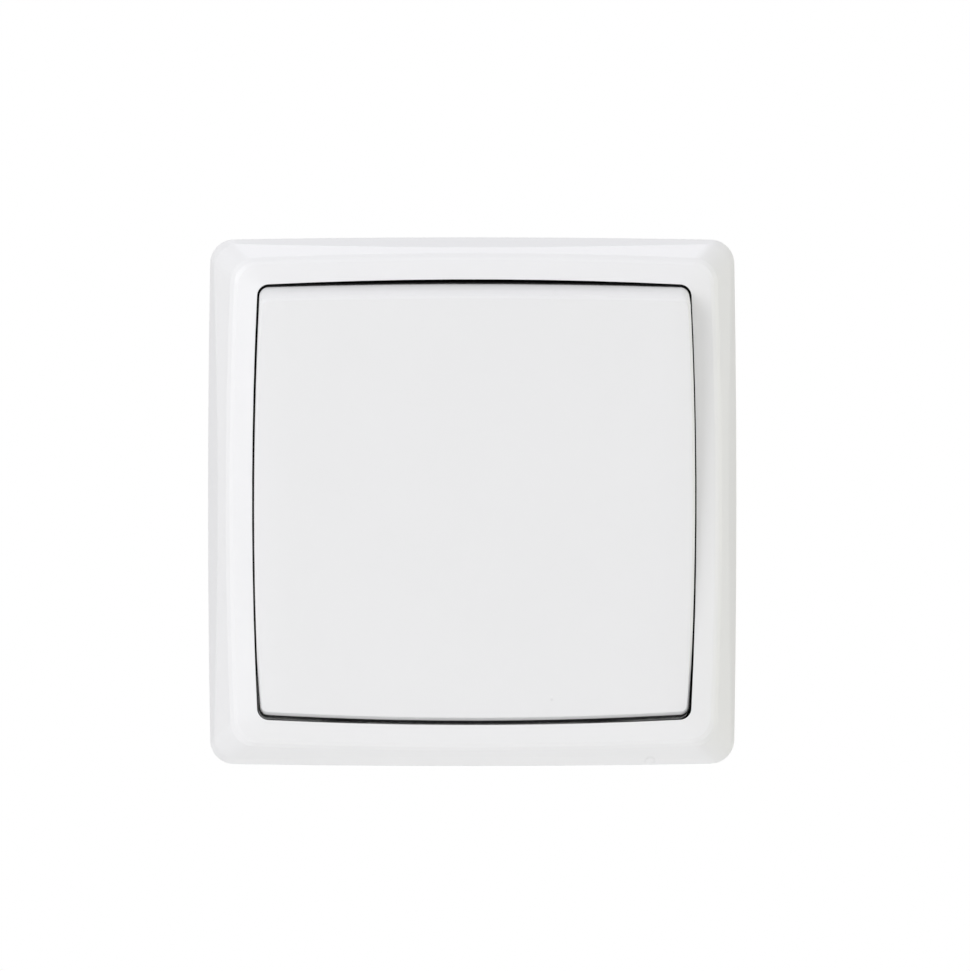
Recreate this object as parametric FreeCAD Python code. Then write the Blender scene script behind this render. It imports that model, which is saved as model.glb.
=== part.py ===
import FreeCAD, Part
import math
import os

# Flush push button light switch, in millimetres.
# +X is right, +Z is up and the front looks along -Y. The wall plane is y = 0 and the origin is
# its centre: the cover frame and the steel carrier lie against it, the housing reaches behind it.

V = FreeCAD.Vector
X_AXIS = V(1, 0, 0)
Y_AXIS = V(0, 1, 0)
Z_AXIS = V(0, 0, 1)

# Wall box that the switch fits, and the sizes that follow it
BOX_SCREW_SPACING = 60.0
FRAME_TO_BOX = 0.675
HOUSING_TO_BOX = 0.35

# Cover frame: how far its sides bulge, and its section
FRAME_BULGE = 0.4
FRAME_CORNER_R = 3.7
FRAME_DRAFT_DEG = 15.6
FRAME_WALL = 2.0
FRAME_HEIGHT = 9.5
FACE_WIDTH = 3.7
RIDGE_DROP = 0.8
RIDGE_BAND = 0.8
RIDGE_SOFTNESS = 0.3
RIDGE_TO_EDGE = 2.85
BEVEL_RUN = 3.4
BEVEL_BULGE = 0.8
LIP_DEPTH = 2.3
MOUTH_DRAFT = 0.6

# Opening of the frame, which the push plate fills
OPENING_EXTRA_Z = 0.07
OPENING_BULGE = 0.9
OPENING_CORNER_R = 1.8

# Push plate and its pivot, in front of the wall plane
PIVOT_OUT = 1.5
PLATE_TILT_DEG = 5.0
PLATE_PROUD = 1.1
PLATE_SIDE_GAP = 0.3
PLATE_END_GAP = 0.77
PLATE_TOP_BULGE = 0.5
PLATE_BOTTOM_BULGE = 1.05
PLATE_CORNER_R = 1.4
PLATE_EDGE = 0.4
PLATE_WALL = 1.8
PLATE_SKIRT_OUT = 3.5
PLATE_ROLL_WIDTH = 5.0
PLATE_ROLL_DROP = 0.35
PLATE_RIB = 1.2
PLATE_RIB_REACH = 4.0
PLATE_LEVELS = 4

# Clip legs of the push plate
CLIP_WIDTH = 4.0
CLIP_T = 1.2
CLIP_NOSE = 0.6
CLIP_PLAY = 0.1
CLIP_WINDOW_PLAY = 0.6
CLIP_TO_EDGE = 5.0
CLIP_TO_RIM = 2.6

# Steel carrier
CARRIER_INSET = 5.0
CARRIER_T = 1.2
CARRIER_CORNER_R = 4.0
SLOT_WIDTH = 4.2
SLOT_LENGTH = 7.0

# Tabs at the carrier's sides, which the frame's catches snap into
TAB_WIDTH = 9.0
TAB_TO_EDGE = 13.5
TAB_LIP_GAP = 1.6
CATCH_WIDTH = 6.0
CATCH_T = 0.9
CATCH_PLAY = 0.3
LOCATOR_TO_EDGE = 15.5
LOCATOR_T = 1.2

# Housing behind the carrier
HOUSING_CORNER = 4.5
HOUSING_EDGE = 0.8
HOUSING_FLOOR = 2.0
HOUSING_WALL = 1.4
SIDE_WALL = 1.9
RECESS_DEPTH = 5.1
RECESS_PLAY = 0.9
SPIGOT_INSET = 4.4
SPIGOT_PLAY = 0.2
WEB_T = 2.0
WEB_LENGTH = 11.6
WEB_BACK = 10.0

# Hooks of the housing that hold the carrier
HOOK_INSET = 3.0
HOOK_WIDTH = 4.0
HOOK_LIP = 0.5

# Bearings of the cradle
TRUNNION_R = 1.5
BEARING_PLAY = 0.05
BEARING_HALF = 3.6
BEARING_OUT = 4.4
SNAP_WIDTH = 2.7

# Cradle that carries the push plate
CRADLE_SIDE_GAP = 0.4
CRADLE_HALF_Z = 13.0
CRADLE_WALL = 1.8
CRADLE_RIM = 1.8
CRADLE_BOSS_R = 2.5
CRADLE_CHEEK_HALF = 9.0
CRADLE_FACE_GAP = 1.8
PUSHER_Z = 9.5
PUSHER_R = 1.2
PUSHER_HALF = 2.5
PUSHER_OUT = 2.0
PUSHER_GAP = 0.08

# Cover of the contact chamber
COVER_BACK = 1.6
COVER_T = 1.6
COVER_PLAY = 0.1
GUIDE_LENGTH = 4.4
GUIDE_WALL = 1.2
COVER_BLOCK = 4.0
COVER_BLOCK_LENGTH = 7.0
CATCH_LIP = 0.5

# Plunger, bridge, contacts and springs
STEM_HALF = 3.0
SLIDE_PLAY = 0.1
WINDOW_PLAY = 0.2
WINDOW_CHEEK = 1.5
WINDOW_WALL = 1.2
CONTACT_SPRING_LENGTH = 3.3
BRIDGE_T = 0.8
BRIDGE_END_GAP = 1.6
BRIDGE_WIDTH = 5.0
STOP_GAP = 0.05
TOUCH_GAP = 0.05
TIP_R = 1.9
TIP_T = 0.8
TIP_INSET = 2.4
SPRING_SEAT_R = 1.4
SPRING_SEAT_LENGTH = 1.6
RETURN_R = 2.4
RETURN_WIRE = 0.5
RETURN_TURNS = 5
CONTACT_R = 1.6
CONTACT_WIRE = 0.4
CONTACT_TURNS = 3
SPRING_GAP = 0.02
COIL_STEPS = 12
WIRE_SIDES = 6

# Terminals at the bottom of the chamber
TERMINAL_INSET = 5.0
BAR_T = 1.0
BAR_WIDTH = 5.0
BAR_INSET = 4.4
STRIP_OVER_TIP = 2.9
CAGE_WIDTH = 8.0
CAGE_OVER_BAR = 5.5
CAGE_WALL = 1.1
CAGE_LENGTH = 5.0
CAGE_PLAY = 0.3
CAGE_BACK_GAP = 0.15
TERMINAL_SCREW_R = 1.6
TERMINAL_HEAD_R = 2.7
TERMINAL_HEAD_T = 1.6
TERMINAL_SCREW_LENGTH = 6.4
THREAD_PLAY = 0.05
WIRE_ENTRY_R = 2.3
WIRE_OVER_BAR = 2.2

# Claws beside the housing
CLAW_T = 1.2
CLAW_WIDTH = 8.0
CLAW_SHORTER = 3.1
CLAW_SIDE = 3.6
CLAW_TOOTH = 1.1
CLAW_TEETH = 3
CLAW_PIVOT_INSET = 2.8
CLAW_PIVOT_BACK = 3.4
CLAW_PIN_R = 0.7
CLAW_SWING_DEG = 16.0
CLAW_SLOT_PLAY = 0.1
EAR_T = 1.2
EAR_HALF = 1.3
EAR_GAP = 0.8
CLAW_SCREW_OUT = 1.2
CLAW_SCREW_R = 1.5
CLAW_HEAD_R = 2.7
CLAW_HEAD_T = 1.5
CLAW_SCREW_LENGTH = 16.0
NUT_R = 2.0
NUT_LENGTH = 7.0
NUT_GAP = 0.03

# Driver slots of the screws
DRIVER_SLOT = 0.8
DRIVER_DEPTH = 0.7

# How far ribs and legs reach into the wall that carries them, and trimming bodies past the edge
OVERLAP = 0.2
SPARE = 1.0

# Sizes and places that follow from those above, from the front to the back
TILT = math.radians(PLATE_TILT_DEG)
FRAME_HALF = FRAME_TO_BOX * BOX_SCREW_SPACING
OPENING_HALF_X = FRAME_HALF - RIDGE_TO_EDGE - FACE_WIDTH
OPENING_HALF_Z = OPENING_HALF_X + OPENING_EXTRA_Z
LIP_BACK = LIP_DEPTH - FRAME_HEIGHT
PLATE_FACE_OUT = FRAME_HEIGHT + PLATE_PROUD
PLATE_HALF_X = OPENING_HALF_X - PLATE_SIDE_GAP
PLATE_SWING_R = math.hypot(OPENING_HALF_Z - PLATE_END_GAP, FRAME_HEIGHT - PIVOT_OUT)
CARRIER_HALF = FRAME_HALF - CARRIER_INSET
TAB_Z = CARRIER_HALF - TAB_TO_EDGE
TAB_OUT = -LIP_BACK - TAB_LIP_GAP
CATCH_OUT = (CARRIER_T + TAB_OUT) / 2.0 - CATCH_PLAY
LOCATOR_X = CARRIER_HALF - LOCATOR_TO_EDGE

HOUSING_HALF = HOUSING_TO_BOX * BOX_SCREW_SPACING
RECESS_X = HOUSING_HALF - RECESS_DEPTH
CAVITY_HALF_X = RECESS_X - SIDE_WALL
CAVITY_HALF_Z = HOUSING_HALF - HOUSING_WALL
SPIGOT_HALF = HOUSING_HALF - SPIGOT_INSET
HOOK_X = CAVITY_HALF_X - HOOK_INSET
WEB_TOP = WEB_LENGTH - CAVITY_HALF_Z
CRADLE_HALF_X = CAVITY_HALF_X - CRADLE_SIDE_GAP
CRADLE_FRONT = PLATE_FACE_OUT - PLATE_WALL - CRADLE_FACE_GAP
CLIP_X = CRADLE_HALF_X - CLIP_TO_EDGE
CLIP_Z = CRADLE_HALF_Z - CRADLE_WALL - CLIP_TO_RIM

PUSHER_CENTRE = PUSHER_OUT + PUSHER_R
PLUNGER_TRAVEL = 2.0 * PUSHER_Z * math.sin(TILT)
PLUNGER_FRONT = (
    PUSHER_R + PUSHER_GAP - PIVOT_OUT
    - PUSHER_CENTRE * math.cos(TILT) - PUSHER_Z * math.sin(TILT))
GUIDE_BACK = COVER_BACK + GUIDE_LENGTH
CAGE_START = GUIDE_BACK + STOP_GAP
WINDOW_FRONT = CAGE_START + WINDOW_WALL
WINDOW_HALF = BRIDGE_WIDTH / 2.0 + WINDOW_PLAY
BRIDGE_FRONT = WINDOW_FRONT + CONTACT_SPRING_LENGTH
BRIDGE_BACK = BRIDGE_FRONT + BRIDGE_T
BRIDGE_HALF_LENGTH = CAVITY_HALF_X - BRIDGE_END_GAP
PLUNGER_BACK = BRIDGE_BACK + WINDOW_WALL
TIP_X = BRIDGE_HALF_LENGTH - TIP_INSET
FIXED_TIP_FRONT = BRIDGE_BACK + TIP_T + PLUNGER_TRAVEL + TOUCH_GAP
STRIP_FRONT = FIXED_TIP_FRONT + TIP_T
STRIP_BACK = STRIP_FRONT + BAR_T
STRIP_TOP_Z = PUSHER_Z + STRIP_OVER_TIP

TERMINAL_X = CAVITY_HALF_X - TERMINAL_INSET
BAR_TOP_Z = BAR_INSET - CAVITY_HALF_Z
CLAMP_FRONT = STRIP_BACK + CAGE_PLAY
CLAMP_BACK = CLAMP_FRONT + CAGE_LENGTH
CLAMP_MIDDLE = CLAMP_FRONT + CAGE_LENGTH / 2.0
CAGE_TOP_Z = BAR_TOP_Z + CAGE_OVER_BAR
CLAMP_BOTTOM_Z = BAR_TOP_Z - BAR_T - CAGE_PLAY - CAGE_WALL
WIRE_ENTRY_Z = BAR_TOP_Z + WIRE_OVER_BAR
FLOOR_FRONT = CLAMP_BACK + CAGE_BACK_GAP
HOUSING_DEPTH = FLOOR_FRONT + HOUSING_FLOOR

CLAW_PIVOT_X = HOUSING_HALF - CLAW_PIVOT_INSET
CLAW_SCREW_X = HOUSING_HALF + CLAW_SCREW_OUT
CLAW_OUT_X = CLAW_SCREW_X + CLAW_SIDE
CLAW_REACH = HOUSING_DEPTH - CLAW_SHORTER
CLAW_ARM = CLAW_SCREW_X - CLAW_PIVOT_X
NUT_BACK = CLAW_PIVOT_BACK + CLAW_T / 2.0 + NUT_R + NUT_GAP
EAR_INNER_Z = CLAW_WIDTH / 2.0 + EAR_GAP
RECESS_HALF = EAR_INNER_Z + EAR_T + RECESS_PLAY


def box(x0, x1, y0, y1, z0, z1):
    return Part.makeBox(x1 - x0, y1 - y0, z1 - z0, V(x0, y0, z0))


def rod(radius, start, direction, length):
    return Part.makeCylinder(radius, length, V(*start), direction)


def mirror_x(shape):
    return shape.mirror(V(0, 0, 0), X_AXIS)


def fuse(shapes):
    body = shapes[0]
    if len(shapes) > 1:
        body = body.multiFuse(shapes[1:])
    return body.removeSplitter()


def at_corners(make, x, z):
    """One copy of make(x, z) in each quadrant."""
    return [make(sx * x, sz * z) for sx in (-1, 1) for sz in (-1, 1)]


def prism(points, direction):
    """Extrudes a closed outline of points."""
    return Part.Face(Part.makePolygon(points + points[:1])).extrude(direction)


def edge_middle(edge):
    span = edge.LastParameter - edge.FirstParameter
    return edge.valueAt(edge.FirstParameter + span / 2.0)


def fillet_where(shape, radius, chosen):
    return shape.makeFillet(radius, [e for e in shape.Edges if chosen(e)])


def arc_radius(half_chord, bulge):
    return (half_chord * half_chord + bulge * bulge) / (2.0 * bulge)


def circle_meet(centre_a, radius_a, centre_b, radius_b, near):
    """The point near the given one where two circles in the XZ plane meet."""
    apart = centre_b - centre_a
    distance = apart.Length
    along = (radius_a ** 2 - radius_b ** 2 + distance ** 2) / (2.0 * distance)
    aside = math.sqrt(radius_a ** 2 - along ** 2)
    base = centre_a + apart * (along / distance)
    across = V(-apart.z, 0, apart.x) * (aside / distance)
    return min((base + across, base - across), key=lambda p: (p - near).Length)


def barrel_wire(half_x, half_z, bulges, corner, y):
    """Outline in the plane at y with four bulging sides and round corners tangent to them.

    half_x and half_z are measured at mid side. bulges says how far the left and right sides, the
    top and the bottom fall back at their ends.
    """
    bulge_side, bulge_top, bulge_bottom = bulges
    radius_side = arc_radius(half_z, bulge_side)
    radius_top = arc_radius(half_x, bulge_top)
    radius_bottom = arc_radius(half_x, bulge_bottom)
    sides = [
        (V(half_x - radius_side, 0, 0), radius_side, V(1, 0, 0)),
        (V(0, 0, half_z - radius_top), radius_top, V(0, 0, 1)),
        (V(radius_side - half_x, 0, 0), radius_side, V(-1, 0, 0)),
        (V(0, 0, radius_bottom - half_z), radius_bottom, V(0, 0, -1))]
    corners = []
    for n in range(4):
        centre_a, radius_a, out_a = sides[n]
        centre_b, radius_b, out_b = sides[(n + 1) % 4]
        near = (out_a + out_b) * (half_x - corner)
        corners.append(circle_meet(centre_a, radius_a - corner, centre_b, radius_b - corner, near))
    lift = V(0, y, 0)
    edges = []
    for n in range(4):
        centre, radius, out = sides[n]
        next_centre, next_radius, next_out = sides[(n + 1) % 4]
        before = corners[n - 1]
        after = corners[n]
        start = centre + (before - centre).normalize() * radius
        end = centre + (after - centre).normalize() * radius
        next_start = next_centre + (after - next_centre).normalize() * next_radius
        bend = after + (end + next_start - after * 2.0).normalize() * corner
        edges.append(Part.Arc(start + lift, centre + out * radius + lift, end + lift).toShape())
        edges.append(Part.Arc(end + lift, bend + lift, next_start + lift).toShape())
    return Part.Wire(edges)


def even(bulge):
    """The same bulge on all four sides."""
    return (bulge, bulge, bulge)


def barrel_loft(sections):
    """Solid through outlines, each given as (half_x, half_z, bulges, corner, y)."""
    return Part.makeLoft([barrel_wire(*section) for section in sections], True, True)


def screw(head_r, head_t, shank_r, length):
    """Slotted screw along +Y with the underside of its head at the origin."""
    head = rod(head_r, (0, -head_t, 0), Y_AXIS, head_t)
    shank = rod(shank_r, (0, 0, 0), Y_AXIS, length)
    slot = box(-head_r, head_r, -head_t, DRIVER_DEPTH - head_t, -DRIVER_SLOT / 2.0, DRIVER_SLOT / 2.0)
    return fuse([head, shank]).cut(slot)


def coil(mean_r, wire, turns, x, z, y0, y1):
    """Coil spring along Y between two faces, a many-sided wire swept along short straights."""
    span = y1 - y0 - wire - 2.0 * SPRING_GAP
    steps = turns * COIL_STEPS
    path = []
    for n in range(steps + 1):
        turn = 2.0 * math.pi * n / COIL_STEPS
        path.append(V(mean_r * math.cos(turn), span * n / steps, mean_r * math.sin(turn)))
    along = (path[1] - path[0]).normalize()
    aside = Y_AXIS.cross(along).normalize()
    up = along.cross(aside)
    ring = []
    for n in range(WIRE_SIDES):
        turn = 2.0 * math.pi * n / WIRE_SIDES
        ring.append(path[0] + (aside * math.cos(turn) + up * math.sin(turn)) * (wire / 2.0))
    section = Part.makePolygon(ring + ring[:1])
    spring = Part.makePolygon(path).makePipeShell([section], True, False, 1)
    spring.translate(V(x, y0 + SPRING_GAP + wire / 2.0, z))
    return spring


def swing(shape):
    """Takes a shape from the pivot's own level frame to its place at rest, top standing out."""
    turned = shape.copy()
    turned.rotate(V(0, 0, 0), X_AXIS, PLATE_TILT_DEG)
    turned.translate(V(0, -PIVOT_OUT, 0))
    return turned


def cover_frame():
    """Cover frame: a drafted outline cut by a bevelled one, then opened and hollowed from behind."""
    draft = FRAME_HEIGHT * math.tan(math.radians(FRAME_DRAFT_DEG))
    ridge_x = OPENING_HALF_X + FACE_WIDTH
    ridge_z = OPENING_HALF_Z + FACE_WIDTH
    ridge_y = RIDGE_DROP - FRAME_HEIGHT
    steep = BEVEL_RUN / ridge_y
    shallow = RIDGE_DROP / FACE_WIDTH
    flat = even(OPENING_BULGE)
    wall = barrel_loft([
        (FRAME_HALF, FRAME_HALF, even(FRAME_BULGE), FRAME_CORNER_R, 0.0),
        (FRAME_HALF - draft, FRAME_HALF - draft, even(FRAME_BULGE), FRAME_CORNER_R, -FRAME_HEIGHT)])
    low = -RIDGE_BAND * steep
    mid_in = RIDGE_BAND * RIDGE_SOFTNESS
    crown = barrel_loft([
        (ridge_x + BEVEL_RUN, ridge_z + BEVEL_RUN, even(BEVEL_BULGE), FRAME_CORNER_R, 0.0),
        (ridge_x + low, ridge_z + low, flat, FRAME_CORNER_R, ridge_y + RIDGE_BAND),
        (ridge_x - mid_in, ridge_z - mid_in, flat, FRAME_CORNER_R - mid_in,
         ridge_y + mid_in * (1.0 - RIDGE_SOFTNESS)),
        (ridge_x - RIDGE_BAND, ridge_z - RIDGE_BAND, flat, FRAME_CORNER_R - RIDGE_BAND / 2.0,
         ridge_y - RIDGE_BAND * shallow),
        (OPENING_HALF_X, OPENING_HALF_Z, flat, OPENING_CORNER_R, -FRAME_HEIGHT)])
    body = wall.common(crown).removeSplitter()

    hollow_front = ridge_x + BEVEL_RUN * (1.0 - LIP_BACK / ridge_y) - FRAME_WALL
    hollow_back = FRAME_HALF - FRAME_WALL
    inner_r = FRAME_CORNER_R - FRAME_WALL / 2.0
    hollow = barrel_loft([
        (hollow_back, hollow_back, even(FRAME_BULGE), inner_r, 0.0),
        (hollow_front, hollow_front, even(FRAME_BULGE), inner_r, LIP_BACK)])
    mouth = barrel_loft([
        (OPENING_HALF_X, OPENING_HALF_Z, flat, OPENING_CORNER_R, -FRAME_HEIGHT),
        (OPENING_HALF_X, OPENING_HALF_Z + MOUTH_DRAFT, flat, OPENING_CORNER_R, LIP_BACK)])
    body = body.cut(fuse([hollow, mouth]))

    grow = FRAME_WALL / 2.0
    envelope = barrel_loft([
        (hollow_back + grow, hollow_back + grow, even(FRAME_BULGE), FRAME_CORNER_R, 0.0),
        (hollow_front + grow, hollow_front + grow, even(FRAME_BULGE), FRAME_CORNER_R, LIP_BACK - grow)])
    ribs = catches(hollow_back) + locators(hollow_back)
    return fuse([body] + [rib.common(envelope) for rib in ribs])


def catches(reach):
    """Ribs with noses at the frame's left and right, which snap into the carrier's tabs."""
    rib_x = CARRIER_HALF + CATCH_PLAY
    made = []
    for z in (-TAB_Z, TAB_Z):
        z0 = z - CATCH_WIDTH / 2.0
        rib = box(rib_x, reach, LIP_BACK, -CARRIER_T, z0, z0 + CATCH_WIDTH)
        nose = prism([
            V(rib_x, -CATCH_OUT - CATCH_T / 2.0, z0),
            V(rib_x - CARRIER_T, -CATCH_OUT - CATCH_T / 2.0, z0),
            V(rib_x, -CATCH_OUT + CATCH_T, z0)], V(0, 0, CATCH_WIDTH))
        one = rib.fuse(nose)
        made += [one, mirror_x(one)]
    return made


def locators(reach):
    """Ribs at the frame's top and bottom that centre it on the carrier's edges."""
    made = []
    for x in (-LOCATOR_X, LOCATOR_X):
        one = box(
            x - LOCATOR_T / 2.0, x + LOCATOR_T / 2.0, LIP_BACK, 0.0, CARRIER_HALF + CATCH_PLAY, reach)
        made += [one, one.mirror(V(0, 0, 0), Z_AXIS)]
    return made


def on_level(edge, y):
    span = edge.BoundBox
    return abs(span.YMin - y) < 1e-4 and abs(span.YMax - y) < 1e-4


def plate_form(inset, back, levels):
    """The push plate's outer form, or its hollow where inset is the wall, in the pivot's frame.

    Its top and bottom walls follow the arc that they swing on, so the gap stays the same. The
    arc is drawn through that many levels.
    """
    half = PLATE_HALF_X - inset
    radius = PLATE_SWING_R - inset
    front = PLATE_FACE_OUT - inset
    bulges = (OPENING_BULGE, PLATE_TOP_BULGE, PLATE_BOTTOM_BULGE)
    sections = []
    for n in range(levels):
        out = back + (front - back) * n / (levels - 1)
        tall = math.sqrt(radius ** 2 - out ** 2)
        sections.append((half, tall, bulges, PLATE_CORNER_R, -out))
    column = barrel_loft(sections)

    wide = half + SPARE
    flat = half - PLATE_ROLL_WIDTH
    roll_r = arc_radius(PLATE_ROLL_WIDTH, PLATE_ROLL_DROP)
    bottom = -radius - SPARE

    def rolled(x):
        over = max(abs(x) - flat, 0.0)
        return V(x, roll_r - front - math.sqrt(roll_r ** 2 - over ** 2), bottom)

    middle = (flat + wide) / 2.0
    profile = Part.Wire([
        Part.makeLine(rolled(-flat), rolled(flat)),
        Part.Arc(rolled(flat), rolled(middle), rolled(wide)).toShape(),
        Part.makeLine(rolled(wide), V(wide, -back, bottom)),
        Part.makeLine(V(wide, -back, bottom), V(-wide, -back, bottom)),
        Part.makeLine(V(-wide, -back, bottom), rolled(-wide)),
        Part.Arc(rolled(-wide), rolled(-middle), rolled(-flat)).toShape()])
    slab = Part.Face(profile).extrude(V(0, 0, -2.0 * bottom))
    return column.common(slab).removeSplitter()


def push_plate():
    """Push plate: walls curved about its pivot, a rolled-off face, ribs and four clip legs."""
    outer = plate_form(0.0, PLATE_SKIRT_OUT, PLATE_LEVELS)
    rim = PLATE_ROLL_DROP + PLATE_EDGE - PLATE_FACE_OUT
    outer = outer.makeChamfer(PLATE_EDGE, [
        e for e in outer.Edges if e.BoundBox.YMax < rim and outlines_face(e)])
    hollow = plate_form(PLATE_WALL, 0.0, 2)
    body = outer.cut(hollow)

    inner = PLATE_WALL - PLATE_FACE_OUT
    seat = -CRADLE_FRONT
    half = PLATE_RIB / 2.0
    reach_z = CRADLE_HALF_Z + PLATE_RIB_REACH
    reach_x = CRADLE_HALF_X + PLATE_RIB_REACH
    ribs = []
    for z in (-CRADLE_HALF_Z / 2.0, CRADLE_HALF_Z / 2.0):
        ribs.append(box(-reach_x, reach_x, inner - OVERLAP, seat, z - half, z + half))
    for x in (-reach_x, 0.0, reach_x):
        ribs.append(box(x - half, x + half, inner - OVERLAP, seat, -reach_z, reach_z))
    legs = at_corners(clip_leg, CLIP_X, CLIP_Z)
    return swing(fuse([body] + ribs + legs))


def outlines_face(edge):
    """True for the face's rim, but not for the two lines where its roll-off starts."""
    middle = edge_middle(edge)
    at_side = abs(middle.x) > PLATE_HALF_X - PLATE_ROLL_WIDTH / 2.0
    across = edge.BoundBox.XLength > edge.BoundBox.ZLength
    return at_side or across


def clip_leg(x, z):
    """Clip leg that passes through the cradle's window and hooks behind its wall."""
    out = 1 if z > 0 else -1
    inner = PLATE_WALL - PLATE_FACE_OUT
    hook = CRADLE_WALL - CRADLE_FRONT + CLIP_PLAY
    x0 = x - CLIP_WIDTH / 2.0
    outline = [
        V(x0, inner - OVERLAP, z),
        V(x0, inner - OVERLAP, z + out * CLIP_T),
        V(x0, hook, z + out * CLIP_T),
        V(x0, hook, z + out * (CLIP_T + CLIP_NOSE)),
        V(x0, hook + CLIP_T, z + out * CLIP_T),
        V(x0, hook + CLIP_T, z)]
    return prism(outline, V(CLIP_WIDTH, 0, 0))


def clip_window(x, z):
    """Window in the cradle's wall for one clip leg."""
    out = 1 if z > 0 else -1
    half = CLIP_WIDTH / 2.0 + CLIP_WINDOW_PLAY
    zs = sorted((z - out * CLIP_WINDOW_PLAY, z + out * (CLIP_T + CLIP_PLAY)))
    return box(x - half, x + half, -CRADLE_FRONT, CRADLE_WALL - CRADLE_FRONT, zs[0], zs[1])


def rocker_cradle():
    """Cradle: a tray with two cheeks on trunnions, windows for the clips and a rounded pusher."""
    front = -CRADLE_FRONT
    back = front + CRADLE_WALL
    tray = box(-CRADLE_HALF_X, CRADLE_HALF_X, front, back + CRADLE_RIM, -CRADLE_HALF_Z, CRADLE_HALF_Z)
    inner_x = CRADLE_HALF_X - CRADLE_WALL
    inner_z = CRADLE_HALF_Z - CRADLE_WALL
    tray = tray.cut(box(-inner_x, inner_x, back, back + CRADLE_RIM, -inner_z, inner_z))
    windows = at_corners(clip_window, CLIP_X, CLIP_Z)
    tray = tray.cut(Part.Compound(windows))
    pieces = [tray]
    for side in (-1, 1):
        x0 = CRADLE_HALF_X - CRADLE_WALL
        cheek = prism([
            V(x0, back, -CRADLE_CHEEK_HALF),
            V(x0, 0, -CRADLE_BOSS_R),
            V(x0, 0, CRADLE_BOSS_R),
            V(x0, back, CRADLE_CHEEK_HALF)], V(CRADLE_WALL, 0, 0))
        boss = rod(CRADLE_BOSS_R, (x0, 0, 0), X_AXIS, CRADLE_WALL)
        pin_end = SPIGOT_HALF - SPIGOT_PLAY
        pin = rod(TRUNNION_R, (x0, 0, 0), X_AXIS, pin_end - x0)
        part = cheek.fuse(boss).fuse(pin)
        pieces.append(part if side > 0 else mirror_x(part))
    pusher_y = -PUSHER_CENTRE
    pieces.append(box(
        -PUSHER_HALF, PUSHER_HALF, back - OVERLAP, pusher_y,
        PUSHER_Z - PUSHER_R, PUSHER_Z + PUSHER_R))
    pieces.append(rod(PUSHER_R, (-PUSHER_HALF, pusher_y, PUSHER_Z), X_AXIS, 2.0 * PUSHER_HALF))
    return swing(fuse(pieces))


def support_plate():
    """Steel carrier: slotted plate with bent tabs for the frame and bent ears for the claws."""
    plate = box(-CARRIER_HALF, CARRIER_HALF, -CARRIER_T, 0, -CARRIER_HALF, CARRIER_HALF)
    plate = fillet_where(plate, CARRIER_CORNER_R, lambda e: e.BoundBox.YLength > CARRIER_T / 2.0)
    half = SPIGOT_HALF + SPIGOT_PLAY
    cuts = [box(-half, half, -CARRIER_T, 0, -half, half)]
    reach = BOX_SCREW_SPACING / 2.0
    for turn in range(4):
        slot = slot_cut(SLOT_LENGTH, SLOT_WIDTH)
        slot.translate(V(reach, 0, 0))
        slot.rotate(V(0, 0, 0), Y_AXIS, 90.0 * turn)
        cuts.append(slot)
    hole_r = CLAW_SCREW_R + THREAD_PLAY
    for x in (-CLAW_SCREW_X, CLAW_SCREW_X):
        cuts.append(rod(hole_r, (x, -CARRIER_T, 0), Y_AXIS, CARRIER_T))
    cuts += at_corners(hook_window, HOOK_X, HOUSING_HALF)
    plate = plate.cut(Part.Compound(cuts))
    bent = []
    for side in (-1, 1):
        for z in (-TAB_Z, TAB_Z):
            tab = box(
                CARRIER_HALF - CARRIER_T, CARRIER_HALF, -TAB_OUT, -CARRIER_T,
                z - TAB_WIDTH / 2.0, z + TAB_WIDTH / 2.0)
            window_half = CATCH_WIDTH / 2.0 + CATCH_PLAY
            window = box(
                CARRIER_HALF - CARRIER_T, CARRIER_HALF,
                -CATCH_OUT - CATCH_T, CATCH_T + CATCH_PLAY - CATCH_OUT,
                z - window_half, z + window_half)
            tab = tab.cut(window)
            bent.append(tab if side > 0 else mirror_x(tab))
        for z0 in (EAR_INNER_Z, -EAR_INNER_Z - EAR_T):
            ear = box(
                CLAW_PIVOT_X - EAR_HALF, CLAW_PIVOT_X + EAR_HALF,
                -CARRIER_T / 2.0, CLAW_PIVOT_BACK + EAR_HALF, z0, z0 + EAR_T)
            bore = rod(CLAW_PIN_R + THREAD_PLAY, (CLAW_PIVOT_X, CLAW_PIVOT_BACK, z0), Z_AXIS, EAR_T)
            ear = ear.cut(bore)
            bent.append(ear if side > 0 else mirror_x(ear))
    return fuse([plate] + bent)


def slot_cut(length, width):
    """Slot through the carrier, centred on the origin and running along X."""
    r = width / 2.0
    run = length / 2.0 - r
    return fuse([
        box(-run, run, -CARRIER_T, 0, -r, r),
        rod(r, (-run, -CARRIER_T, 0), Y_AXIS, CARRIER_T),
        rod(r, (run, -CARRIER_T, 0), Y_AXIS, CARRIER_T)])


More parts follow.
